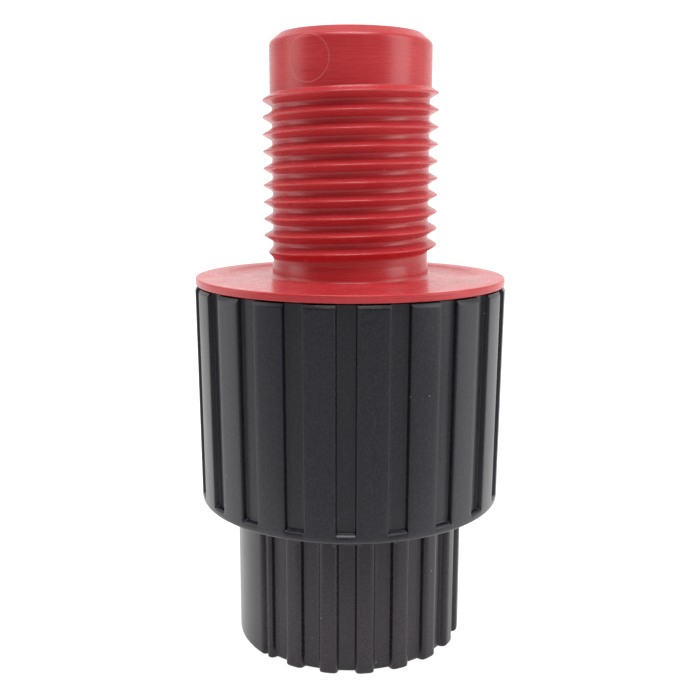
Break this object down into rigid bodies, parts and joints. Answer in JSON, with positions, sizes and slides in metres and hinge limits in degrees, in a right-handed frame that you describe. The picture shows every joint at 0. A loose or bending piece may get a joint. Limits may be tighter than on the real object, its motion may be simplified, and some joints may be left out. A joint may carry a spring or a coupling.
{
  "type": "drip emitter",
  "caption": "Threaded adjustable drip emitter: red male inlet nipple with a thin flange, black ribbed collar, and a ribbed outlet cap that turns to set the drip rate.",
  "frame": {"origin": "middle of the outlet cap's lower face, on the axis", "axes": "+Z along the axis from the outlet cap up to the inlet thread; +X and +Y across it"},
  "size_m": [0.0382, 0.0382, 0.0748],
  "materials": {
    "red_polypropylene": "moulded semi-gloss, faint turning lines",
    "black_polypropylene": "moulded satin, fine speckle",
    "black_polypropylene_cap": "moulded satin, slightly duller",
    "red_nozzle": "moulded semi-gloss",
    "natural_acetal": "moulded, slightly translucent look",
    "strainer_gauze": "woven wire",
    "stainless_wire": "drawn wire",
    "stainless_needle": "turned",
    "turned_brass": "turned",
    "nitrile_rubber": "moulded matt",
    "silicone_rubber": "moulded matt"
  },
  "bodies": {
    "housing": {"inlet_nipple": "red_polypropylene", "collar_housing": "black_polypropylene", "body_seal_ring": "nitrile_rubber", "strainer_frame": "natural_acetal", "strainer_mesh": "strainer_gauze", "check_seat": "natural_acetal", "poppet_guide": "natural_acetal", "check_spring": "stainless_wire", "diaphragm_clamp_ring": "natural_acetal", "compensating_diaphragm": "silicone_rubber", "labyrinth_disc": "natural_acetal", "labyrinth_gasket": "nitrile_rubber", "metering_jet": "turned_brass", "cap_seal_ring": "nitrile_rubber", "cap_retaining_ring": "stainless_wire", "cap_thrust_washer": "natural_acetal"},
    "check_valve": {"check_poppet": "natural_acetal", "poppet_seal": "nitrile_rubber"},
    "cap": {"outlet_cap": "black_polypropylene_cap", "drip_nozzle": "red_nozzle"},
    "needle": {"metering_needle": "stainless_needle"}
  },
  "joints": [
    {"name": "cap_turn", "type": "hinge", "parent": "housing", "child": "cap", "pos_m": [0, 0, 0.012], "axis": [0, 0, 1], "range_deg": [0, 330]},
    {"name": "needle_lift", "type": "slide", "parent": "housing", "child": "needle", "axis": [0, 0, -1], "range_m": [0, 0.00138]},
    {"name": "poppet_open", "type": "slide", "parent": "housing", "child": "check_valve", "axis": [0, 0, -1], "range_m": [0, 0.002], "stiffness_N_per_m": 300, "springref_m": -0.001, "deforming": ["check_spring"]}
  ],
  "couplings": [
    {"joint": "needle_lift", "follows": "cap_turn", "m_per_rad": 0.00023873}
  ]
}
